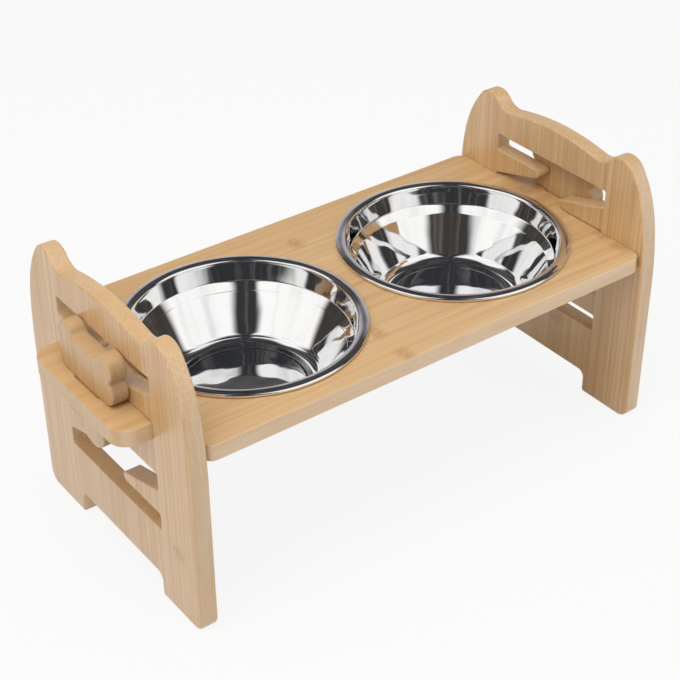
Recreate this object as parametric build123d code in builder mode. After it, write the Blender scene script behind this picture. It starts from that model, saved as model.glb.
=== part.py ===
"""Raised feeder for a small dog: two slotted bamboo panels, a bowl board, two bone keys, two steel bowls."""

import os
from math import acos, atan2, cos, degrees, hypot, radians, sin, tan

from build123d import *

# Plywood stock, in millimetres like every size here
ply = 11.5  # thickness of panels, board and keys
edge_round = 1.5  # rounding along the edges of panels and keys
slot_round = 0.8  # easing along the board's edges and along slots, holes and mortises

# Side panels
panel_height = 193.8
panel_width = 186.6
panel_spacing = 340.8  # between the panels' inner faces
shoulder_radius = 250.0  # from the straight side up to the ear, in two arcs
shoulder_turn = 10.0
cheek_radius = 80.0
cheek_turn = 27.5
ear_radius = 12.8
ear_turn = 100.5
valley_radius = 14.5  # between an ear and the low dome
valley_turn = 60.4

# Feet of a panel
notch_width = 97.2
notch_height = 15.9
notch_radius = 5.0
toe_radius = 9.0  # at the outer bottom corner
heel_radius = 2.0  # at the notch

# Z-shaped slots, which hold the board level or tilted
slot_length = 106.4
slot_height = 42.5
slot_play = 0.5  # between the board's thickness and a slot's arm
upper_slot_height = 143.45  # centres above the floor
lower_slot_height = 75.85
slot_corner = 1.2
tooth_radius = 3.5  # round tips of the two teeth between the arms

# Bowl board
board_width = 183.2
board_corner = 8.0
tongue_play = 0.6  # between a tongue's side and the slot's end
tongue_corner = 12.0
tongue_lip = 9.6  # wood left outside a mortise
bowl_spacing = 168.6

# Bone keys
key_play = 0.3  # between a key's faces and the panel or mortise
mortise_inset = 1.0  # how far a mortise reaches under the panel
mortise_corner = 1.0
tab_width = 28.0
tab_play = 0.4
tab_length = 43.1  # below the key's flat base
lobe_radius = 9.3  # the two lower knuckles, level with the base
lobe_spacing = 43.8
crown_radius = 8.8  # the two upper knuckles
crown_spacing = 44.6
crown_height = 24.5  # their centres above the base
waist_height = 26.8  # shaft of the bone above the base
waist_blend = 6.0
knuckle_blend = 1.6

# Steel bowls
sheet = 0.7
bowl_play = 0.6  # between a bowl's wall and its hole in the board
mouth_radius = 71.4  # inside, at the top
mouth_taper = 2.5  # how much narrower the bowl is at the step's upper corner
step_width = 4.6
floor_radius = 49.0  # where wall and floor would meet
bowl_depth = 49.0  # from the rim's crown to the floor beside the disc
step_depth = 14.6  # the step's upper corner below the crown
step_fall = 5.0
step_blend = 2.2
floor_blend = 9.0
disc_inset = 7.8  # from where wall and floor would meet to the raised disc in the floor
disc_slope = 2.3
disc_rise = 0.8
disc_blend = 1.1
rim_shoulder_radius = 1.9  # rolled rim: inner shoulder, crown and outer curl
rim_shoulder_turn = 65.0
rim_crown_radius = 6.0
rim_crown_turn = 50.0
rim_curl_radius = 1.5
rim_lap = 1.4  # flat underside that lies on the board

# Planes and levels shared by the pieces
panel_inner = panel_spacing / 2
panel_outer = panel_inner + ply
arm_height = ply + slot_play
board_bottom = upper_slot_height - slot_height / 2
board_top = board_bottom + ply
key_inner = panel_outer + key_play
mortise_inner = panel_outer - mortise_inset
mortise_outer = key_inner + ply + key_play
tongue_end = mortise_outer + tongue_lip
tongue_width = slot_length - 2 * tongue_play
step_radius = mouth_radius - mouth_taper
hole_radius = mouth_radius + sheet + bowl_play


def z_slot():
    """Two level arms and the slanted one between them, which rises to the front, all of one height."""
    half_length = slot_length / 2
    half_height = slot_height / 2
    tilt = acos(arm_height / 2 / hypot(half_height, half_length)) - atan2(half_length, half_height)
    wall = arm_height / 2 / cos(tilt)
    inner = half_height - arm_height
    upper = [
        (half_length, half_height),
        (-half_length, half_height),
        (-half_length, half_length * tan(tilt) - wall),
        ((inner - wall) / tan(tilt), -inner),
        (-half_length, -inner),
    ]
    with BuildSketch() as slot:
        with BuildLine():
            Polyline(*upper, *[(-y, -z) for y, z in upper], close=True)
        make_face()
        corners = slot.vertices().sort_by(lambda v: abs(v.X))
        fillet(corners[:2], tooth_radius)
        corners = slot.vertices().filter_by(lambda v: abs(abs(v.X) - half_length) < 1e-6)
        fillet(corners, slot_corner)
    return slot.sketch


def bone():
    """Four knuckles round a shaft, with a round-ended tab below the flat base at the sketch's origin."""
    lower = [(side * lobe_spacing / 2, lobe_radius) for side in (-1, 1)]
    upper = [(side * crown_spacing / 2, crown_height) for side in (-1, 1)]
    with BuildSketch() as key:
        with Locations(*lower):
            Circle(lobe_radius)
        with Locations(*upper):
            Circle(crown_radius)
        Rectangle(lobe_spacing, waist_height, align=(Align.CENTER, Align.MIN))
        notches = key.vertices().filter_by(lambda v: abs(v.X) > lobe_spacing / 2 + 1e-3)
        fillet(notches, knuckle_blend)
        dips = key.vertices().filter_by(lambda v: abs(v.Y - waist_height) < 1e-6)
        fillet(dips, waist_blend)
        with Locations((0, tab_width / 2 - tab_length)):
            Circle(tab_width / 2)
            Rectangle(tab_width, tab_length - tab_width / 2, align=(Align.CENTER, Align.MIN))
    return key.sketch


def broad_edges(plate, axis, holes=False):
    """The edges round a plate's two broad faces: its outline, or the rims of its openings."""
    faces = plate.faces().filter_by(axis).sort_by(axis)
    edges = []
    for face in (faces[0], faces[-1]):
        for wire in face.inner_wires() if holes else [face.outer_wire()]:
            edges += wire.edges()
    return edges


os.makedirs("parts", exist_ok=True)
slot_shape = z_slot()
bone_shape = bone()

# Side panels: an eared outline on two feet, with a Z slot at each of two heights
ear_lean = radians(shoulder_turn + cheek_turn)
ear_rise = (
    shoulder_radius * sin(radians(shoulder_turn))
    + cheek_radius * (sin(ear_lean) - sin(radians(shoulder_turn)))
    + ear_radius * (1 - sin(ear_lean))
)
dome_turn = 90 - shoulder_turn - cheek_turn - ear_turn + valley_turn
for name, inner_x in (("side_panel_left", -panel_outer), ("side_panel_right", panel_inner)):
    with BuildPart() as panel:
        with BuildSketch(Plane.YZ.offset(inner_x)) as outline:
            with BuildLine():
                side = Line((panel_width / 2, 0), (panel_width / 2, panel_height - ear_rise))
                shoulder = JernArc(side @ 1, side % 1, shoulder_radius, shoulder_turn)
                cheek = JernArc(shoulder @ 1, shoulder % 1, cheek_radius, cheek_turn)
                ear = JernArc(cheek @ 1, cheek % 1, ear_radius, ear_turn)
                valley = JernArc(ear @ 1, ear % 1, valley_radius, -valley_turn)
                dome_radius = (valley @ 1).X / sin(radians(dome_turn))
                dome = JernArc(valley @ 1, valley % 1, dome_radius, dome_turn)
                Polyline(
                    dome @ 1,
                    (0, notch_height),
                    (notch_width / 2, notch_height),
                    (notch_width / 2, 0),
                    (panel_width / 2, 0),
                )
            make_face()
            mirror(about=Plane.YZ)
            floor_corners = outline.vertices().group_by(Axis.Y)[0].sort_by(lambda v: abs(v.X))
            fillet(floor_corners[2:], toe_radius)
            floor_corners = outline.vertices().group_by(Axis.Y)[0].sort_by(lambda v: abs(v.X))
            fillet(floor_corners[:2], heel_radius)
            arch_corners = outline.vertices().filter_by(
                lambda v: abs(v.Y - notch_height) < 1e-6 and abs(v.X) > 1e-6
            )
            fillet(arch_corners, notch_radius)
        extrude(amount=ply)
        fillet(broad_edges(panel, Axis.X), edge_round)
        with BuildSketch(Plane.YZ.offset(inner_x)):
            with Locations((0, lower_slot_height), (0, upper_slot_height)):
                add(slot_shape)
        extrude(amount=ply, mode=Mode.SUBTRACT)
        fillet(broad_edges(panel, Axis.X, holes=True), slot_round)
    panel.part.label = name
    export_step(panel.part, f"parts/{name}.step")

# Bowl board: lies level in the upper slots and reaches through both panels with a mortised tongue
with BuildPart() as bowl_board:
    with BuildSketch(Plane.XY.offset(board_bottom)) as plan:
        Rectangle(panel_spacing, board_width)
        fillet(plan.vertices(), board_corner)
        Rectangle(2 * tongue_end, tongue_width)
        tongue_corners = plan.vertices().filter_by(lambda v: abs(abs(v.X) - tongue_end) < 1e-6)
        fillet(tongue_corners, tongue_corner)
    extrude(amount=ply)
    fillet(broad_edges(bowl_board, Axis.Z), slot_round)
    with BuildSketch(Plane.XY.offset(board_bottom)):
        mortise_x = (mortise_inner + mortise_outer) / 2
        with Locations((-mortise_x, 0), (mortise_x, 0)):
            RectangleRounded(mortise_outer - mortise_inner, tab_width + 2 * tab_play, mortise_corner)
        with Locations((-bowl_spacing / 2, 0), (bowl_spacing / 2, 0)):
            Circle(hole_radius)
    extrude(amount=ply, mode=Mode.SUBTRACT)
    fillet(broad_edges(bowl_board, Axis.Z, holes=True), slot_round)
bowl_board.part.label = "bowl_board"
export_step(bowl_board.part, "parts/bowl_board.step")

# Bone keys: each drops through its mortise and pins a tongue against its panel's outer face
for name, inner_x in (("bone_key_left", -key_inner - ply), ("bone_key_right", key_inner)):
    with BuildPart() as bone_key:
        with BuildSketch(Plane.YZ.offset(inner_x)):
            with Locations((0, board_top)):
                add(bone_shape)
        extrude(amount=ply)
        fillet(broad_edges(bone_key, Axis.X), edge_round)
    bone_key.part.label = name
    export_step(bone_key.part, f"parts/{name}.step")

# Bowls: one sheet spun from the disc in the floor over the stepped wall to the rolled rim on the board
shoulder_end = radians(rim_shoulder_turn)
crown_end = radians(rim_shoulder_turn + rim_crown_turn)
rim_top = board_top + rim_curl_radius * (1 + sin(crown_end)) + rim_crown_radius * (1 - sin(crown_end))
floor_height = rim_top - bowl_depth
disc_edge = floor_radius - disc_inset
mouth_height = rim_top - rim_crown_radius * (1 - sin(shoulder_end)) - rim_shoulder_radius * sin(shoulder_end)
for name, bowl_x in (("bowl_left", -bowl_spacing / 2), ("bowl_right", bowl_spacing / 2)):
    axis_plane = Plane(origin=(bowl_x, 0, 0), x_dir=(1, 0, 0), z_dir=(0, -1, 0))
    with BuildPart() as bowl:
        with BuildSketch(axis_plane):
            with BuildLine():
                wall = FilletPolyline(
                    (0, floor_height + disc_rise),
                    (disc_edge - disc_slope, floor_height + disc_rise),
                    (disc_edge, floor_height),
                    (floor_radius, floor_height),
                    (step_radius - step_width, rim_top - step_depth - step_fall),
                    (step_radius, rim_top - step_depth),
                    (mouth_radius, mouth_height),
                    radius=[disc_blend, disc_blend, floor_blend, step_blend, step_blend],
                )
                rim_shoulder = JernArc(wall @ 1, (0, 1), rim_shoulder_radius, -rim_shoulder_turn)
                crown = JernArc(rim_shoulder @ 1, rim_shoulder % 1, rim_crown_radius, -rim_crown_turn)
                curl = JernArc(crown @ 1, crown % 1, rim_curl_radius, degrees(crown_end) - 270)
                Line(curl @ 1, (curl @ 1) - (rim_lap, 0))
                offset(amount=sheet, side=Side.RIGHT, closed=True)
            make_face()
        revolve(axis=Axis((bowl_x, 0, 0), (0, 0, 1)))
    bowl.part.label = name
    export_step(bowl.part, f"parts/{name}.step")
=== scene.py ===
"""Dog bowl stand in laminated bamboo with two spun steel bowls: its finishes, its studio and its camera.

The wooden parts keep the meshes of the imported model, and the bowls are spun again, finer, from the same
section. Each operator below finishes one group of parts: the side panels, the bowl board, the bone keys
and the bowls. One more sets the floor, the lamps, the room and the camera.
"""

import math
from functools import reduce
from typing import NamedTuple

import bpy
import numpy as np
from bpy.props import FloatProperty, FloatVectorProperty, PointerProperty
from bpy.types import Operator, Panel, PropertyGroup
from mathutils import Matrix, Vector


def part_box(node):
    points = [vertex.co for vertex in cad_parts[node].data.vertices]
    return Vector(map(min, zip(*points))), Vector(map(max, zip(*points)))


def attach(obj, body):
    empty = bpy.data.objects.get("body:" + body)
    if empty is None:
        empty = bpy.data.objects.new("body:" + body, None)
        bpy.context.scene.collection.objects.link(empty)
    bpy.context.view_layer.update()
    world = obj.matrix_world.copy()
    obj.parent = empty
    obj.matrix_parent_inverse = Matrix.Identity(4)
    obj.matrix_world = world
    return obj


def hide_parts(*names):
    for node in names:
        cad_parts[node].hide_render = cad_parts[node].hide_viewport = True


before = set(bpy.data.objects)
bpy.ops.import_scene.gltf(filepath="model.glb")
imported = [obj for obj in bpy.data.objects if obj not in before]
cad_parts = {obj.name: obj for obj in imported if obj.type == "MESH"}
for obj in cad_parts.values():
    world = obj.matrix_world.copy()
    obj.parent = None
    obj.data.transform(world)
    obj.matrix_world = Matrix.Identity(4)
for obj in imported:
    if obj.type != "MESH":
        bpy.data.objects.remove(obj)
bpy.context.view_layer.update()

bl_info = {
    "name": "Bamboo Bowl Stand",
    "version": (1, 0, 0),
    "blender": (4, 5, 0),
    "location": "View3D > Sidebar > Bowl Stand",
    "description": "Finishes and studio for a bamboo dog bowl stand with two steel bowls",
    "category": "3D View",
}

PANELS = ("side_panel_left", "side_panel_right")
BOARD = ("bowl_board",)
KEYS = ("bone_key_left", "bone_key_right")
BOWLS = ("bowl_left", "bowl_right")

# The left panel's outer face, which the right one's mirrors
panel_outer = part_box("side_panel_left")[0].x
board_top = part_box("bowl_board")[1].z
bowl_low, bowl_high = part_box("bowl_right")

# Millimetres in a metre. Patterns and sections are worked out in millimetres, so a number that multiplies
# a distance inside a noise says how much of the noise one millimetre covers
MM = 1000.0


# Settings


def colour_setting(name, description, default):
    return FloatVectorProperty(
        name=name, description=description, default=default, subtype="COLOR", size=3, min=0.0, max=1.0
    )


def length_setting(name, description, default):
    return FloatProperty(
        name=name,
        description=description,
        default=default,
        min=0.00005,
        soft_max=1.0,
        precision=5,
        unit="LENGTH",
        subtype="DISTANCE",
    )


def share_setting(name, description, default):
    return FloatProperty(
        name=name, description=description, default=default, min=0.0, max=1.0, subtype="FACTOR"
    )


def power_setting(name, description, default):
    return FloatProperty(name=name, description=description, default=default, min=0.0, unit="POWER")


class BambooSettings(PropertyGroup):
    """Sizes and colours of the bamboo."""

    pale: colour_setting("Pale wood", "Colour of the palest strips", (0.76, 0.52, 0.28))
    honey: colour_setting("Honey wood", "Colour of the warmest strips", (0.67, 0.405, 0.165))
    fibre: colour_setting("Fibres", "Colour of the fibres that run along a strip", (0.44, 0.205, 0.06))
    knuckle: colour_setting("Knuckles", "Colour of the rings that grew across the cane", (0.40, 0.165, 0.04))
    panel_edge: colour_setting("Panel edge", "Colour of the long edges of the panels", (0.68, 0.53, 0.38))
    # Painted light: the board's long edges are paler than its wood, a painted highlight for light from the
    # front
    board_edge_with_painted_light: colour_setting("Board edge", "Colour of the long edges of the board", (0.90, 0.70, 0.50))
    # Painted shade: the keys' long edges, their ends beside the panels, are darkened for the shade that
    # falls there
    key_edge_with_painted_shade: colour_setting("Key edge", "Colour of the long edges of the keys", (0.33, 0.27, 0.21))
    end_grain: colour_setting("End grain", "Colour where the strips are cut across", (0.66, 0.46, 0.26))
    smoked: colour_setting("Darker wood", "Colour that a darker piece tends to", (0.38, 0.23, 0.11))
    strip_width: length_setting("Strip width", "Width of one glued strip", 0.0185)
    ply_thickness: length_setting("Ply thickness", "Thickness of one layer of strips", 0.00575)
    fibre_spacing: length_setting("Fibre spacing", "Distance between neighbouring fibres", 0.0010)
    knuckle_length: length_setting("Knuckle length", "Length of the speckled mark of one knuckle", 0.013)
    varnish: share_setting("Varnish", "How much clear matt varnish lies on the wood", 0.75)
    roughness: share_setting("Roughness", "How dull the sanded wood is", 0.40)


class SteelSettings(PropertyGroup):
    """Colours and polish of the bowls."""

    mouth_radius: length_setting("Mouth radius", "Inner radius at the top of the wall", 0.0714)
    floor_radius: length_setting("Floor radius", "Radius at which wall and floor would meet", 0.049)
    depth: length_setting("Depth", "From the top of the rim to the floor", 0.049)
    step_depth: length_setting("Step depth", "From the top of the rim to the step in the wall", 0.0146)
    step_width: length_setting("Step width", "How far the step reaches inwards", 0.0046)
    sheet: length_setting("Sheet", "Thickness of the steel sheet", 0.0007)
    steel: colour_setting("Steel", "Colour that the polished steel reflects", (0.86, 0.86, 0.865))
    smear: colour_setting("Smears", "Colour of the faint polishing haze", (0.74, 0.745, 0.76))
    outside: colour_setting("Outside", "Colour of the satin outside", (0.50, 0.505, 0.52))
    polish: share_setting("Polished roughness", "Roughness inside the bowls and on the rims", 0.04)
    satin: share_setting("Satin roughness", "Roughness of the outside, which is polished less", 0.2)
    spin_line: length_setting("Spinning lines", "Distance between the fine rings left by spinning", 0.0009)
    ripple: length_setting("Ripple", "Distance between the slow waves in the pressed wall", 0.023)


class StudioSettings(PropertyGroup):
    """Floor, lights and camera."""

    floor: colour_setting("Floor", "Colour of the floor", (0.72, 0.71, 0.70))
    dome: FloatProperty(
        name="Dome", description="Strength of the even light from all round", default=0.78, min=0.0
    )
    top_lamp: power_setting("Top lamp", "Power of the broad lamp overhead", 3.9)
    left_lamp: power_setting("Left lamp", "Power of the broad lamp on the left", 5.0)
    focal_length: FloatProperty(
        name="Focal length", description="Focal length of the camera, in millimetres", default=83.88, min=1.0
    )


# Shader maths


class Signal:
    """One output socket. Sums, differences, products, quotients and powers of it add Math nodes."""

    def __init__(self, shader, socket):
        self.shader = shader
        self.socket = socket

    def _math(self, operation, *values):
        return self.shader.add("ShaderNodeMath", {"operation": operation}, dict(enumerate(values)))

    def __add__(self, other):
        return self._math("ADD", self, other)

    __radd__ = __add__

    def __mul__(self, other):
        return self._math("MULTIPLY", self, other)

    __rmul__ = __mul__

    def __sub__(self, other):
        return self._math("SUBTRACT", self, other)

    def __rsub__(self, other):
        return self._math("SUBTRACT", other, self)

    def __truediv__(self, other):
        return self._math("DIVIDE", self, other)

    def __pow__(self, other):
        return self._math("POWER", self, other)

    def __neg__(self):
        return self._math("MULTIPLY", self, -1.0)

    def __abs__(self):
        return self._math("ABSOLUTE", self)

    def floor(self):
        return self._math("FLOOR", self)

    def part(self):
        """What is left after the whole number."""
        return self._math("FRACT", self)

    def least(self, other):
        return self._math("MINIMUM", self, other)

    def most(self, other):
        return self._math("MAXIMUM", self, other)

    def step(self, low, high):
        """0 at low and 1 at high, with a smooth change between. Low may be the greater of the two."""
        rising = low < high
        ends = (low, high, 0.0, 1.0) if rising else (high, low, 1.0, 0.0)
        names = ("From Min", "From Max", "To Min", "To Max")
        inputs = {"Value": self, **dict(zip(names, ends))}
        return self.shader.add("ShaderNodeMapRange", {"interpolation_type": "SMOOTHSTEP"}, inputs)


class Shader:
    """A node tree, with one method that adds any node."""

    def __init__(self, tree):
        self.tree = tree
        tree.nodes.clear()

    def add(self, kind, settings=None, inputs=None, output=0):
        """Adds a node of that type, with its settings and inputs, and returns one output as a Signal."""
        node = self.tree.nodes.new(kind)
        for name, value in (settings or {}).items():
            setattr(node, name, value)
        for name, value in (inputs or {}).items():
            if isinstance(value, Signal):
                self.tree.links.new(value.socket, node.inputs[name])
            else:
                node.inputs[name].default_value = value
        return Signal(self, node.outputs[output]) if node.outputs else None

    def split(self, vector):
        """The three numbers of a vector."""
        node = self.add("ShaderNodeSeparateXYZ", inputs={"Vector": vector}).socket.node
        return tuple(Signal(self, socket) for socket in node.outputs)

    def place(self):
        """Where a point of the part lies, in millimetres, as three numbers."""
        here = self.add("ShaderNodeTexCoord", output="Object")
        scaled = self.add("ShaderNodeVectorMath", {"operation": "SCALE"}, {0: here, "Scale": MM})
        return self.split(scaled)

    def facing(self):
        """The direction that the surface faces, as three numbers."""
        return self.split(self.add("ShaderNodeTexCoord", output="Normal"))

    def noise(self, x, y, z, detail=2.0, roughness=0.5):
        """Soft noise from 0 to 1 at a point given in units of the noise's own size."""
        point = self.add("ShaderNodeCombineXYZ", inputs={"X": x, "Y": y, "Z": z})
        inputs = {"Vector": point, "Scale": 1.0, "Detail": detail, "Roughness": roughness}
        return self.add("ShaderNodeTexNoise", {"noise_dimensions": "3D"}, inputs)

    def chance(self, number):
        """A value from 0 to 1 that belongs to this number and looks random."""
        return self.add("ShaderNodeTexWhiteNoise", {"noise_dimensions": "1D"}, {"W": number})

    def blend(self, share, first, second):
        """A colour between two others."""
        first = first if isinstance(first, Signal) else (*first, 1.0)
        second = second if isinstance(second, Signal) else (*second, 1.0)
        settings = {"data_type": "RGBA", "clamp_factor": True}
        return self.add("ShaderNodeMix", settings, {0: share, 6: first, 7: second}, output=2)

    def finish(self, inputs):
        """Ends a material in one Principled surface with these inputs."""
        surface = self.add("ShaderNodeBsdfPrincipled", inputs=inputs)
        self.add("ShaderNodeOutputMaterial", inputs={"Surface": surface})


def new_material(name):
    material = bpy.data.materials.new(name)
    material.use_nodes = True
    return material, Shader(material.node_tree)


def assign(material, nodes):
    """Puts one material in every slot of these parts."""
    for name in nodes:
        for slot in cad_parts[name].material_slots:
            slot.link = "DATA"
            slot.material = material


# Bamboo


class Block(NamedTuple):
    """A point's place in the block of strips that a piece is cut from, and how the surface is cut there.

    Along, across and deep are distances along the fibres, across the strips and through the plies, in
    millimetres. Swayed is the distance across, bent a little as real strips are. Row goes from 0 to 1
    across a strip, and strip is a number that differs from strip to strip and from ply to ply. End_on is
    1 where the surface cuts across the fibres, and side_on where it is a long edge.
    """

    along: Signal
    across: Signal
    deep: Signal
    swayed: Signal
    row: Signal
    strip: Signal
    end_on: Signal
    side_on: Signal


# Width of the broadest streaks in millimetres, where the strips show their edges and their faces
EDGE_STREAK = 2.6
FACE_STREAK = 7.0

# Places of the clearest knuckles, along and across the fibres, in millimetres
LEFT_KNUCKLES = ((49.0, -72.0),)
RIGHT_KNUCKLES = ((47.0, -18.0),)
KEY_KNUCKLES = ((121.0, 12.0),)
BOARD_KNUCKLES = (
    (-176.0, 34.0),
    (-25.0, -57.0),
    (-25.0, -86.0),
    (-2.0, 60.0),
    (167.0, -74.0),
    (169.0, -56.0),
    (169.0, 22.0),
)

# How far strips sway and knuckles' ends are ragged, in millimetres, and how far the joints between the
# strips shift from ply to ply, as a share of a strip
SWAY = 2.2
RAGGED = 3.0
PLY_SHIFT = 0.37

# The strength of the grain's relief, its depth in metres, and how dull the varnish is
GRAIN_RELIEF = 0.18
GRAIN_DEPTH = 0.0004
VARNISH_ROUGHNESS = 0.24


def cut_block(shader, wood, grain, first_face, inwards, seed):
    """The block of a part. Grain names the part's axes: along, across and deep.

    A strip's number is the whole part of its distance across over the strip width, and a ply's that of
    its depth over the ply thickness, so faces, edges and corners all show the same block. Plies are
    counted from the first face, and inwards is 1 or -1, the way from there into the wood.
    """
    axes = dict(zip("xyz", shader.place()))
    faces = dict(zip("xyz", shader.facing()))
    along, across, deep = (axes[axis] for axis in grain)
    swayed = across + (shader.noise(along * 0.012, across * 0.03, seed) - 0.5) * SWAY
    ply = ((deep - first_face * MM) * inwards / (wood.ply_thickness * MM)).floor()
    place = swayed / (wood.strip_width * MM) + ply * PLY_SHIFT + seed * 0.13
    return Block(
        along=along,
        across=across,
        deep=deep,
        swayed=swayed,
        row=place.part(),
        strip=place.floor() + ply * 17.0 + seed * 5.0,
        end_on=abs(faces[grain[0]]).step(0.45, 0.9),
        side_on=abs(faces[grain[1]]).step(0.5, 0.9),
    )


def grow_fibres(shader, wood, block, streak):
    """The layers of the grain: broad bands, lines, fine hairs, dark threads and streaks.

    Each is noise that changes slowly along the strip and fast across it.
    """
    along, swayed, deep, strip = block.along, block.swayed, block.deep, block.strip
    spacing = wood.fibre_spacing * MM
    bands = shader.noise(along * 0.004, swayed * 0.17 + strip * 3.1, deep * 0.17, 2.0, 0.55)
    lines = shader.noise(along * 0.006, swayed / spacing, deep / spacing + strip, 2.0, 0.6)
    hairs = shader.noise(along * 0.02, swayed * 2.6, deep * 2.6 + strip, 2.0, 0.6)
    threads = shader.noise(along * 0.010, swayed * 1.15, deep * 1.15 + strip * 2.0, 2.0, 0.5)
    streaks = shader.noise(along * 0.0022, swayed / streak + strip * 1.7, deep / streak, 3.0, 0.6)
    broken_threads = threads.step(0.55, 0.70) * hairs.step(0.30, 0.55)
    return bands, lines, hairs, broken_threads, streaks.step(0.46, 0.66)


def knuckle_marks(wood, block, bands, knuckles):
    """1 in the middle of each knuckle and 0 past its length and its strip, with a ragged outline."""
    length = wood.knuckle_length * MM
    width = wood.strip_width * MM
    ragged = (bands - 0.5) * RAGGED
    marks = []
    for mark_along, mark_across in knuckles:
        near = abs(block.along - mark_along + ragged).step(length * 0.6, 0.0)
        beside = abs(block.across - mark_across).step(width * 0.48, width * 0.2)
        marks.append(near * beside)
    return reduce(Signal.most, marks)


def end_pores(shader, block):
    """1 in the small dark pores of the end grain and 0 between them."""
    place = {"X": block.along * 0.05, "Y": block.swayed, "Z": block.deep}
    point = shader.add("ShaderNodeCombineXYZ", inputs=place)
    cells = shader.add("ShaderNodeTexVoronoi", {"feature": "F1"}, {"Vector": point, "Scale": 1.05})
    return cells.step(0.42, 0.12)


def bamboo(name, wood, grain, first_face, inwards, edge, seed, streak, knuckles, warmth=0.0, smoke=0.0):
    """Laminated bamboo, cut from a solid block of strips.

    Each strip has its own tone between pale and honey, and warmth moves them all. Smoke is how far the
    piece goes to the darker wood. Edge is the colour of the long edges; on the board it is a painted
    highlight and on the keys painted shade. Streak is the width of the broadest streaks in millimetres:
    the broader they are, the fainter the fine layers.
    """
    material, shader = new_material(name)
    block = cut_block(shader, wood, grain, first_face, inwards, seed)
    bands, lines, hairs, threads, streaks = grow_fibres(shader, wood, block, streak)
    along, across, deep = block.along, block.across, block.deep
    marks = knuckle_marks(wood, block, bands, knuckles)
    speckle = shader.noise(along * 0.5, block.swayed * 0.9, deep * 0.5 + seed, 2.0, 0.6).step(0.44, 0.58)
    pores = end_pores(shader, block)
    glue = block.row.step(0.018, 0.0).most(block.row.step(0.982, 1.0))
    wear = shader.noise(along * 0.02, across * 0.05, deep * 0.05 + seed, 3.0, 0.6)

    fine = EDGE_STREAK / streak
    tone = shader.chance(block.strip) * 0.7 + bands.step(0.3, 0.7) * 0.5 + warmth - 0.1
    ends = shader.blend(pores * 0.3, wood.end_grain, wood.knuckle)
    # Each layer lies over the ones before it, by the share that stands before its colour
    layers = (
        (streaks * 0.26, wood.fibre),
        (lines.step(0.42, 0.62) * 0.35 * fine, wood.fibre),
        (hairs.step(0.50, 0.80) * 0.16 * fine, wood.fibre),
        (threads * 0.40 * fine**0.5, wood.fibre),
        (marks * 0.22, wood.fibre),
        (marks * speckle * 0.55, wood.knuckle),
        (glue * 0.14, wood.knuckle),
        (block.end_on * 0.45, ends),
        # The long edges: the panels' own edge colour, a painted highlight on the board and painted shade on
        # the keys
        (block.side_on * (0.3 + wear.step(0.35, 0.65) * 0.35), edge),
        (wear.step(0.50, 0.80) * 0.14, wood.pale),
        (wear * smoke * 2, wood.smoked),
    )
    colour = shader.blend(tone, wood.pale, wood.honey)
    for share, layer in layers:
        colour = shader.blend(share, colour, layer)

    raised = lines * 0.4 + hairs * 0.3 + bands * 0.2
    height = raised - threads * 0.35 - glue * 0.4 - block.end_on * pores * 0.5
    relief = {"Strength": GRAIN_RELIEF, "Distance": GRAIN_DEPTH, "Height": height}
    dull = lines * 0.10 + threads * 0.08 + wear * 0.08 + block.end_on * 0.12 + (wood.roughness - 0.1)
    shader.finish({
        "Base Color": colour,
        "Roughness": dull,
        "Coat Weight": wood.varnish,
        "Coat Roughness": VARNISH_ROUGHNESS,
        "Normal": shader.add("ShaderNodeBump", inputs=relief),
    })
    return material


class STAND_OT_finish_panels(Operator):
    """Gives both side panels upright strips of bamboo"""

    bl_idname = "bowl_stand.finish_panels"
    bl_label = "Finish side panels"

    def execute(self, context):
        wood = context.scene.bowl_stand_bamboo
        left = bamboo(
            "panel_bamboo_left",
            wood,
            grain="zyx",
            first_face=panel_outer,
            inwards=1.0,
            edge=wood.panel_edge,
            seed=3.0,
            streak=EDGE_STREAK,
            knuckles=LEFT_KNUCKLES,
        )
        right = bamboo(
            "panel_bamboo_right",
            wood,
            grain="zyx",
            first_face=-panel_outer,
            inwards=-1.0,
            edge=wood.panel_edge,
            seed=8.0,
            streak=EDGE_STREAK,
            knuckles=RIGHT_KNUCKLES,
            warmth=-0.1,
        )
        assign(left, PANELS[:1])
        assign(right, PANELS[1:])
        return {"FINISHED"}


class STAND_OT_finish_board(Operator):
    """Gives the bowl board strips of bamboo that run from tongue to tongue"""

    bl_idname = "bowl_stand.finish_board"
    bl_label = "Finish bowl board"

    def execute(self, context):
        wood = context.scene.bowl_stand_bamboo
        board = bamboo(
            "board_bamboo",
            wood,
            grain="xyz",
            first_face=board_top,
            inwards=-1.0,
            # The board's long edges carry a painted highlight
            edge=wood.board_edge_with_painted_light,
            seed=5.0,
            streak=FACE_STREAK,
            knuckles=BOARD_KNUCKLES,
            warmth=0.08,
            smoke=0.1,
        )
        assign(board, BOARD)
        return {"FINISHED"}


class STAND_OT_finish_keys(Operator):
    """Gives the two bone keys bamboo that runs down their waists"""

    bl_idname = "bowl_stand.finish_keys"
    bl_label = "Finish bone keys"

    def execute(self, context):
        wood = context.scene.bowl_stand_bamboo
        for name in KEYS:
            # Each key's plies are counted from its left face
            left_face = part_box(name)[0].x
            seed = 11.0 if left_face < 0 else 13.0
            finish = bamboo(
                name.replace("bone", "bamboo"),
                wood,
                grain="zyx",
                first_face=left_face,
                inwards=1.0,
                # The keys' ends carry painted shade
                edge=wood.key_edge_with_painted_shade,
                seed=seed,
                streak=EDGE_STREAK,
                knuckles=KEY_KNUCKLES,
                warmth=0.2,
                smoke=0.24,
            )
            assign(finish, (name,))
        return {"FINISHED"}


# Steel

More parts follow.
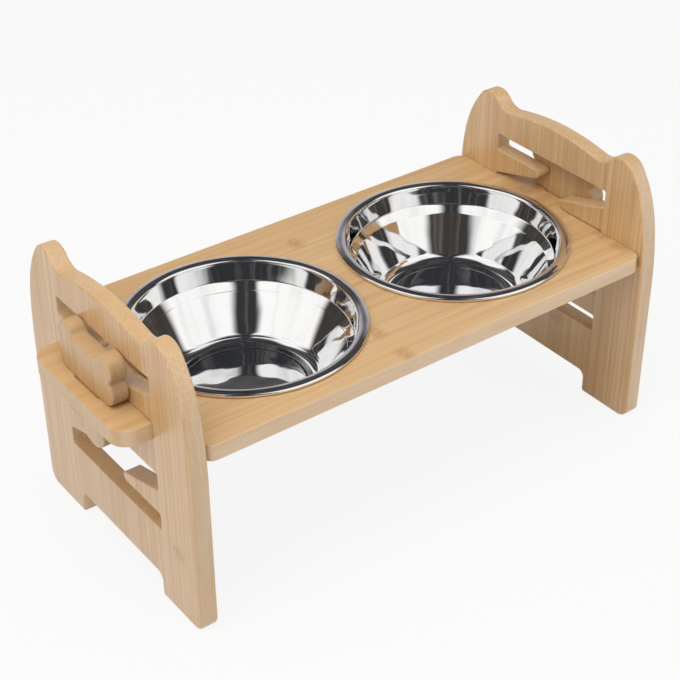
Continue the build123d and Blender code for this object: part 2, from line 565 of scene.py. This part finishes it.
# The bowl's section in millimetres and degrees. The raised disc in its floor ends in a slope, inside a
# level ring. The mouth widens above the step, and the rim is three arcs that turn right, then a flat lap
DISC_RISE = 0.8
DISC_SLOPE = 2.3
RING_WIDTH = 7.8
MOUTH_TAPER = 2.5
STEP_RISE = 5.0
FILLETS = (1.1, 1.1, 9.0, 2.2, 2.2)
SHOULDER_RADIUS, SHOULDER_TURN = 1.9, 65.0
CROWN_RADIUS, CROWN_TURN = 6.0, 50.0
CURL_RADIUS, CURL_TURN = 1.5, 155.0
LAP = 1.4
POINT_SPACING = 1.2

# A slope in the finish bends the reflections in each bowl's wall. It starts this far below the board's
# top and ends a span lower. It is strong in the left bowl, and faint and the other way in the right one
BOW_START = 16.0
BOW_SPAN = 27.0
LEFT_BOW = 15.0
RIGHT_BOW = -1.6

# The depth of the steel's relief in metres, and over how many millimetres the satin outside turns into
# the polished rim: outwards up to the mouth's radius and up to the board's top
STEEL_RELIEF_DEPTH = 0.0005
RIM_REACH = 1.2
RIM_DROP = 1.5


def rounded_line(points, radii, step):
    """A line through the points with each inner corner rounded by its radius.

    A corner's arc starts and ends at the radius times the tangent of half the turn before and after it.
    Returns the points and, for each, the unit vector that points to the line's right.
    """
    points = np.array(points, float)
    run = np.diff(points, axis=0)
    heading = np.arctan2(run[:, 1], run[:, 0])
    turns = np.diff(heading)
    cut = np.abs(np.tan(turns / 2)) * np.array(radii)
    places, normals = [], []
    for i, angle in enumerate(heading):
        ahead = np.array([math.cos(angle), math.sin(angle)])
        start = points[i] + ahead * (cut[i - 1] if i else 0.0)
        end = points[i + 1] - ahead * (cut[i] if i < len(cut) else 0.0)
        count = max(2, round(math.dist(start, end) / step) + 1)
        places.append(start + np.linspace(0, 1, count)[:, None] * (end - start))
        normals.append(np.tile([ahead[1], -ahead[0]], (count, 1)))
        if i < len(turns):
            arc, across = arc_line(end, angle, radii[i], turns[i])
            places.append(arc[1:-1])
            normals.append(across[1:-1])
    return np.concatenate(places), np.concatenate(normals)


def arc_line(start, heading, radius, turn, degrees_apart=3.0):
    """An arc from a start and heading: its centre lies one radius to the side that it turns to."""
    side = math.copysign(1.0, turn)
    centre = np.array(start) + side * radius * np.array([-math.sin(heading), math.cos(heading)])
    count = max(3, round(abs(math.degrees(turn)) / degrees_apart) + 1)
    headings = heading + np.linspace(0, turn, count)
    right = np.stack([np.sin(headings), -np.cos(headings)], axis=1)
    return centre + side * radius * right, right


def bowl_section(steel):
    """The closed section of a bowl, as distances from its axis and heights, in metres.

    The inner line runs from the axis over the raised disc, the floor, the wall, the step and the mouth,
    and then round the rolled rim: shoulder, crown and curl. The outer line is the same line moved one
    sheet's thickness to its right, and the two are joined at the rim's lap.
    """
    top = bowl_high.z * MM
    mouth, floor, step = steel.mouth_radius * MM, steel.floor_radius * MM, steel.step_depth * MM
    bottom = top - steel.depth * MM
    ledge = mouth - MOUTH_TAPER
    disc = floor - RING_WIDTH
    lean = math.sin(math.radians(SHOULDER_TURN))
    corners = (
        (0.0, bottom + DISC_RISE),
        (disc - DISC_SLOPE, bottom + DISC_RISE),
        (disc, bottom),
        (floor, bottom),
        (ledge - steel.step_width * MM, top - step - STEP_RISE),
        (ledge, top - step),
        (mouth, top - CROWN_RADIUS * (1 - lean) - SHOULDER_RADIUS * lean),
    )
    line, right = rounded_line(corners, FILLETS, POINT_SPACING)
    heading, end = math.pi / 2, line[-1]
    parts, rights = [line], [right]
    rim = ((SHOULDER_RADIUS, SHOULDER_TURN), (CROWN_RADIUS, CROWN_TURN), (CURL_RADIUS, CURL_TURN))
    for radius, degrees in rim:
        turn = math.radians(-degrees)
        arc, across = arc_line(end, heading, radius, turn)
        parts.append(arc[1:])
        rights.append(across[1:])
        heading, end = heading + turn, arc[-1]
    parts.append(end + np.linspace(0, 1, 4)[1:, None] * np.array([-LAP, 0.0]))
    rights.append(np.tile([0.0, 1.0], (3, 1)))
    line, right = np.concatenate(parts), np.concatenate(rights)
    outer = (line + right * steel.sheet * MM)[::-1]
    section = np.concatenate([line, outer])
    section[[0, -1], 0] = 0.0
    apart = np.hypot(*np.diff(section, axis=0).T) > 1e-4
    return section[np.append(True, apart)] / MM


def spun_bowl(name, section, centre, turns=224):
    """The section carried round the upright axis through the centre.

    X is the centre plus the distance times the cosine of the turn, and y is the distance times its sine.
    A fan closes each end on the axis.
    """
    angle = np.linspace(0, 2 * math.pi, turns, endpoint=False)
    reach, height = section[1:-1, :1], section[1:-1, 1:]
    places = [centre + reach * np.cos(angle), reach * np.sin(angle), height + 0 * angle]
    grid = np.stack(places, axis=-1).reshape(-1, 3)
    poles = [[centre, 0.0, section[0, 1]], [centre, 0.0, section[-1, 1]]]
    rows = len(section) - 2
    here = np.arange(rows * turns).reshape(rows, turns)
    after = np.roll(here, -1, axis=1)
    quads = np.stack([here[:-1], here[1:], after[1:], after[:-1]], axis=-1).reshape(-1, 4)
    first, last = np.full(turns, rows * turns), np.full(turns, rows * turns + 1)
    inside = np.stack([first, here[0], after[0]], axis=1)
    outside = np.stack([here[-1], last, after[-1]], axis=1)
    fans = np.concatenate([inside, outside])
    mesh = bpy.data.meshes.new(name)
    mesh.from_pydata(np.concatenate([grid, poles]), [], [*quads.tolist(), *fans.tolist()])
    mesh.shade_smooth()
    mesh.set_sharp_from_angle(angle=math.radians(40))
    bowl = bpy.data.objects.new(name, mesh)
    bpy.context.scene.collection.objects.link(bowl)
    return bowl


def polished_steel(name, steel):
    """Spun stainless steel.

    A point's radius is its distance from its own bowl's axis, the same sum for both bowls, because they
    stand as far left as right. Rings across the radius and the height are the spinning lines, and slow
    noise is the ripple of the pressed wall. Both go into the relief, with the slope that bends the
    reflections in the wall. Surfaces that face the axis or up are polished, and those that face outwards
    or down are satin, apart from the rim.
    """
    material, shader = new_material(name)
    x, y, z = shader.place()
    facing_x, facing_y, facing_z = shader.facing()
    on_right = x.step(-1.0, 1.0)
    side = on_right * 2 - 1
    out_x = x - side * ((bowl_low.x + bowl_high.x) / 2 * MM)
    radius = (out_x * out_x + y * y) ** 0.5
    outward = (out_x * facing_x + y * facing_y) / (radius + 0.01)
    mouth = steel.mouth_radius * MM
    rest = board_top * MM
    rim = radius.step(mouth - RIM_REACH, mouth) * z.step(rest - RIM_DROP, rest)
    satin = outward.step(0.05, 0.4).most(facing_z.step(-0.1, -0.5)) * (1 - rim)

    line = steel.spin_line * MM
    ripple = steel.ripple * MM
    spin = shader.noise((radius + z) / line, out_x * 0.012, y * 0.012, 3.0, 0.6)
    wave = shader.noise(out_x / ripple, y / ripple, z * 0.03 + side * 4.0, 1.0, 0.4)
    haze = shader.noise(out_x * 0.035, y * 0.035, z * 0.05 + side, 3.0, 0.6).step(0.5, 0.8)
    scratch = shader.noise(out_x * 0.5 + y * 0.1, y * 0.02 + out_x * 0.01, z * 0.04).step(0.70, 0.76)

    colour = shader.blend(haze * 0.35 + spin.step(0.45, 0.8) * 0.12, steel.steel, steel.smear)
    colour = shader.blend(satin * (0.8 + spin * 0.3), colour, steel.outside)
    uneven = haze * 0.02 + spin * 0.015 + scratch * 0.02 - 0.01
    slope = ((rest - BOW_START - z) / BOW_SPAN).most(0.0).least(1.0) * (1 - satin)
    bow = slope * (on_right * (RIGHT_BOW - LEFT_BOW) + LEFT_BOW)
    height = wave + bow + spin * (satin * 0.01 + 0.004) - scratch * 0.002
    relief = {"Strength": 1.0, "Distance": STEEL_RELIEF_DEPTH, "Height": height}
    shader.finish({
        "Base Color": colour,
        "Metallic": 1.0,
        "Roughness": uneven + satin * (steel.satin - steel.polish) + steel.polish,
        "Normal": shader.add("ShaderNodeBump", inputs=relief),
    })
    return material


class STAND_OT_make_bowls(Operator):
    """Spins both bowls from polished steel sheet"""

    bl_idname = "bowl_stand.make_bowls"
    bl_label = "Make bowls"

    def execute(self, context):
        steel = context.scene.bowl_stand_steel
        material = polished_steel("spun_steel", steel)
        section = bowl_section(steel)
        for node in BOWLS:
            low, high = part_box(node)
            side = node.removeprefix("bowl_")
            bowl = spun_bowl(f"steel_bowl_{side}", section, (low.x + high.x) / 2)
            bowl.data.materials.append(material)
            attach(bowl, f"{side}_bowl")
            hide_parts(node)
        return {"FINISHED"}


# Studio

# What reflections see of the room, and the light from all round
WALL = (0.055, 0.045, 0.038)
CEILING = (0.030, 0.033, 0.038)
CLUTTER = (0.22, 0.20, 0.19)
BACKDROP = (0.42, 0.40, 0.43)
CLOTH = (1.0, 0.99, 0.97)
FOLD = (0.55, 0.56, 0.58)
ROOM_STRENGTH = 1.12
DOME_LOW = (0.42, 0.40, 0.385)
DOME_HIGH = (1.0, 0.99, 0.975)
WHITE = (1.0, 1.0, 1.0)

# Each softbox: its inner and outer turn from the camera, and its lower and upper end, in degrees
LEFT_SOFTBOX = (37.0, 88.0, -8.0, 64.0)
RIGHT_SOFTBOX = (36.0, 86.0, -8.0, 60.0)

# The light on the object: each lamp's place and size in metres, the setting that holds its power, the
# share of it that the lamp has, and its tint. All of them point at the target
LAMP_TARGET = (0.0, 0.0, 0.1)
LAMPS = (
    ("top_lamp", (-0.25, -0.15, 1.5), 1.3, "top_lamp", 1.0, (0.97, 0.99, 0.99)),
    ("near_lamp", (-0.24, -0.15, 0.80), 0.4, "top_lamp", 0.38, (0.97, 0.99, 0.99)),
    ("left_lamp", (-1.3, -0.3, 1.1), 1.1, "left_lamp", 1.0, (1.0, 0.97, 0.95)),
    ("front_lamp", (0.5, -0.75, 0.3), 0.5, "left_lamp", 0.2, (1.0, 0.98, 0.96)),
)

# The floor's reach from the middle in metres, the colour of its mottle and the share of its white glow
FLOOR_REACH = 6.0
FLOOR_MOTTLE = (0.67, 0.66, 0.65)
FLOOR_GLOW = 0.88

# Painted shade on the floor, seen only by reflections: it stands for the board's shadow beside the right
# panel's near foot. In millimetres: where it starts and is full from the left and from the right, its
# middle along y, and how far from there it ends and is full. Its strength is the glow that it takes
PAINTED_SHADE_LEFT = (80.0, 140.0)
PAINTED_SHADE_RIGHT = (230.0, 165.0)
PAINTED_SHADE_MIDDLE = -30.0
PAINTED_SHADE_REACH = (95.0, 15.0)
PAINTED_SHADE_STRENGTH = 0.8

# The camera's place in metres, and its angles in degrees: clockwise from +Y, up from level, and rolled
CAMERA_PLACE = Vector((-0.5219, -0.6902, 0.6727))
CAMERA_TURN = 36.57
CAMERA_TILT = -34.08
CAMERA_ROLL = -0.40
SENSOR_WIDTH = 36.0


def softbox(turn, height, inner, outer, low, high, edge=6.0):
    """1 inside a window of the studio wall and 0 outside: from inner to outer turn and from low to high.

    The inner edge leans towards the camera as it rises, and the outer edge away from it.
    """
    past_inner = (turn + height * 0.4).step(inner - edge, inner + edge)
    before_outer = (turn - height * 0.3).step(outer + edge, outer - edge)
    above = height.step(low - edge, low + edge)
    below = height.step(high + edge, high - edge)
    return past_inner * before_outer * above * below


def room_colour(shader, turn, height):
    """The room by the turn from the camera, clockwise, and the height above the horizon, in degrees."""
    clutter = shader.noise(turn * 0.09, height * 0.03, 0.0)
    folds = shader.noise(turn * 0.05, height * 0.06, 7.0)
    behind = abs(turn).step(140.0, 152.0) * height.step(40.0, 20.0)
    cloth = shader.blend(folds.step(0.42, 0.72) * 0.5, CLOTH, FOLD)
    room = shader.blend(height.step(0.0, 70.0), WALL, CEILING)
    room = shader.blend(clutter.step(0.45, 0.8) * 0.6, room, CLUTTER)
    room = shader.blend(behind, room, BACKDROP)
    softboxes = softbox(turn, height, *LEFT_SOFTBOX).most(softbox(-turn, height, *RIGHT_SOFTBOX))
    return shader.blend(softboxes, room, cloth)


def studio_world(world, studio):
    """Light from all round, and the room that polished steel sees.

    The camera sees plain white. Diffuse light sees an even dome. Reflections see the room: two tall
    softboxes with the dark gap for the camera between them, a pale low backdrop behind the stand and a
    dark ceiling.
    """
    world.use_nodes = True
    shader = Shader(world.node_tree)
    x, y, z = shader.split(shader.add("ShaderNodeTexCoord", output="Generated"))
    turn = shader.add("ShaderNodeMath", {"operation": "ARCTAN2"}, {0: x, 1: y}) * (180 / math.pi)
    height = shader.add("ShaderNodeMath", {"operation": "ARCSINE"}, {0: z}) * (180 / math.pi)
    from_camera = ((turn - (CAMERA_TURN - 180)) / 360 + 0.5).part() * 360 - 180

    def background(colour, strength):
        colour = colour if isinstance(colour, Signal) else (*colour, 1.0)
        return shader.add("ShaderNodeBackground", inputs={"Color": colour, "Strength": strength})

    def choose(share, first, second):
        return shader.add("ShaderNodeMixShader", inputs={0: share, 1: first, 2: second})

    glossy = shader.add("ShaderNodeLightPath", output="Is Glossy Ray")
    camera = shader.add("ShaderNodeLightPath", output="Is Camera Ray")
    dome = shader.blend(height.step(-5.0, 75.0), DOME_LOW, DOME_HIGH)
    room = room_colour(shader, from_camera, height)
    light = choose(glossy, background(dome, studio.dome), background(room, ROOM_STRENGTH))
    light = choose(camera, light, background(WHITE, 1.0))
    shader.add("ShaderNodeOutputWorld", inputs={"Surface": light})


def area_lamp(name, place, size, power, tint):
    """A square lamp that points from its place to the target of all lamps. Reflections don't show it."""
    data = bpy.data.lights.new(name, "AREA")
    data.size = size
    data.energy = power
    data.color = tint
    lamp = bpy.data.objects.new(name, data)
    lamp.location = place
    lamp.rotation_euler = (Vector(LAMP_TARGET) - Vector(place)).to_track_quat("-Z", "Y").to_euler()
    lamp.visible_glossy = False
    bpy.context.scene.collection.objects.link(lamp)


def floor_material(studio):
    """A pale floor with a faint mottle. The camera and reflections see it a little brighter than it is lit.

    Beside the right panel's near foot, reflections see less of that glow: painted shade with soft edges,
    for the board's shadow on the floor there.
    """
    material, shader = new_material("pale_floor")
    x, y, z = shader.place()
    mottle = shader.noise(x * 0.004, y * 0.004, 0.0, 3.0, 0.6)
    colour = shader.blend(mottle * 0.05, studio.floor, FLOOR_MOTTLE)
    surface = shader.add("ShaderNodeBsdfPrincipled", inputs={"Base Color": colour, "Roughness": 0.9})
    glow = shader.add("ShaderNodeEmission", inputs={"Color": (*WHITE, 1.0), "Strength": 1.0})
    glossy = shader.add("ShaderNodeLightPath", output="Is Glossy Ray")
    camera = shader.add("ShaderNodeLightPath", output="Is Camera Ray")
    # Painted shade that reflections see, for the board's shadow on the floor by the right panel's near foot
    painted_shade = x.step(*PAINTED_SHADE_LEFT) * x.step(*PAINTED_SHADE_RIGHT) * abs(y - PAINTED_SHADE_MIDDLE).step(*PAINTED_SHADE_REACH)
    share = camera.most(glossy * (1 - painted_shade * PAINTED_SHADE_STRENGTH)) * FLOOR_GLOW
    seen = shader.add("ShaderNodeMixShader", inputs={0: share, 1: surface, 2: glow})
    shader.add("ShaderNodeOutputMaterial", inputs={"Surface": seen})
    return material


def lay_floor(studio):
    """A square floor at height 0."""
    mesh = bpy.data.meshes.new("floor")
    corners = [(x * FLOOR_REACH, y * FLOOR_REACH, 0.0) for x, y in ((-1, -1), (1, -1), (1, 1), (-1, 1))]
    mesh.from_pydata(corners, [], [(0, 1, 2, 3)])
    mesh.materials.append(floor_material(studio))
    ground = bpy.data.objects.new("floor", mesh)
    bpy.context.scene.collection.objects.link(ground)
    return ground


def camera_pose():
    """The camera's matrix: it looks along the turn and the tilt, rolled about that line."""
    turn, tilt, roll = (math.radians(angle) for angle in (CAMERA_TURN, CAMERA_TILT, CAMERA_ROLL))
    ahead = Vector((math.sin(turn) * math.cos(tilt), math.cos(turn) * math.cos(tilt), math.sin(tilt)))
    level = Vector((math.cos(turn), -math.sin(turn), 0.0))
    up = level.cross(ahead)
    right = level * math.cos(roll) + up * math.sin(roll)
    top = up * math.cos(roll) - level * math.sin(roll)
    return Matrix.LocRotScale(CAMERA_PLACE, Matrix((right, top, -ahead)).transposed(), None)


class STAND_OT_set_stage(Operator):
    """Sets the floor, the lamps, the room and the camera"""

    bl_idname = "bowl_stand.set_stage"
    bl_label = "Set stage"

    def execute(self, context):
        scene = context.scene
        studio = scene.bowl_stand_studio
        scene.view_settings.view_transform = "Standard"
        ground = lay_floor(studio)
        scene.world = bpy.data.worlds.new("studio")
        studio_world(scene.world, studio)
        for name, place, size, power, share, tint in LAMPS:
            area_lamp(name, place, size, getattr(studio, power) * share, tint)

        data = bpy.data.cameras.new("camera")
        data.lens = studio.focal_length
        data.sensor_width = SENSOR_WIDTH
        data.clip_start = 0.01
        data.clip_end = 50.0
        camera = bpy.data.objects.new("camera", data)
        camera.matrix_world = camera_pose()
        scene.collection.objects.link(camera)
        scene.camera = camera
        return {"FINISHED"}


class STAND_PT_sidebar(Panel):
    """Lists the stand's settings and its operators"""

    bl_idname = "STAND_PT_sidebar"
    bl_label = "Bowl Stand"
    bl_space_type = "VIEW_3D"
    bl_region_type = "UI"
    bl_category = "Bowl Stand"

    def draw(self, context):
        for title, group, operators in SECTIONS:
            box = self.layout.box()
            box.label(text=title)
            settings = getattr(context.scene, group)
            for name in settings.__annotations__:
                box.prop(settings, name)
            for operator in operators:
                box.operator(operator.bl_idname)


SECTIONS = (
    ("Bamboo", "bowl_stand_bamboo", (STAND_OT_finish_panels, STAND_OT_finish_board, STAND_OT_finish_keys)),
    ("Bowls", "bowl_stand_steel", (STAND_OT_make_bowls,)),
    ("Studio", "bowl_stand_studio", (STAND_OT_set_stage,)),
)
GROUPS = {
    "bowl_stand_bamboo": BambooSettings,
    "bowl_stand_steel": SteelSettings,
    "bowl_stand_studio": StudioSettings,
}
CLASSES = (
    *GROUPS.values(),
    *(operator for section in SECTIONS for operator in section[2]),
    STAND_PT_sidebar,
)


def register():
    for each in CLASSES:
        bpy.utils.register_class(each)
    for name, group in GROUPS.items():
        setattr(bpy.types.Scene, name, PointerProperty(type=group))


def unregister():
    for name in GROUPS:
        delattr(bpy.types.Scene, name)
    for each in reversed(CLASSES):
        bpy.utils.unregister_class(each)


def main():
    register()
    bpy.ops.bowl_stand.finish_panels()
    bpy.ops.bowl_stand.finish_board()
    bpy.ops.bowl_stand.finish_keys()
    bpy.ops.bowl_stand.make_bowls()
    bpy.ops.bowl_stand.set_stage()


if __name__ == "__main__":
    main()
